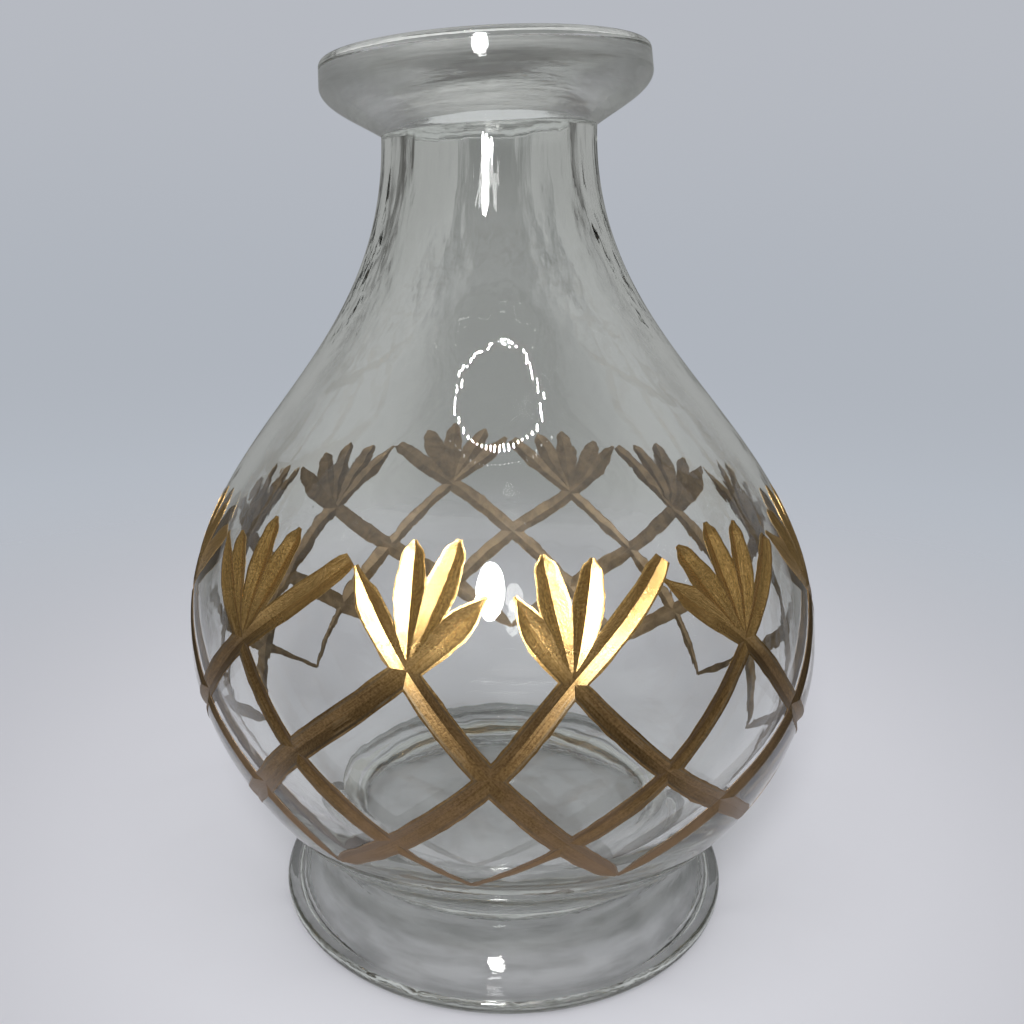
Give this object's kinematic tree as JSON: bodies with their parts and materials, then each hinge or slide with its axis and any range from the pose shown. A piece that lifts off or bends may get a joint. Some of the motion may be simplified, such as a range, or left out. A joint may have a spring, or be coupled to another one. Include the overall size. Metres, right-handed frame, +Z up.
{
  "type": "vase",
  "caption": "Footed glass vase with a round bulb, a leaning neck and a flared cup collar, its belly cut with a V-groove lattice and leaf fans lined with gilding.",
  "frame": {"origin": "middle of the foot's underside, on the surface that the vase stands on", "axes": "+Z up, +X to the right and -Y to the front as the vase is seen; the neck leans towards -X"},
  "size_m": [0.1244, 0.1245, 0.1674],
  "materials": {
    "clear_glass": "clear blown glass, faintly grey-green",
    "hazy_glass": "hazy glass with fine tool lines",
    "gilding": "metallic gold paint, worn at its edges"
  },
  "bodies": {
    "root": {"foot": "clear_glass", "vessel_body": "clear_glass", "rim_collar": "hazy_glass", "gilt_lattice": "gilding", "gilt_fan_01": "gilding", "gilt_fan_02": "gilding", "gilt_fan_03": "gilding", "gilt_fan_04": "gilding", "gilt_fan_05": "gilding", "gilt_fan_06": "gilding", "gilt_fan_07": "gilding", "gilt_fan_08": "gilding", "gilt_fan_09": "gilding", "gilt_fan_10": "gilding", "gilt_fan_11": "gilding", "gilt_fan_12": "gilding"}
  },
  "joints": []
}
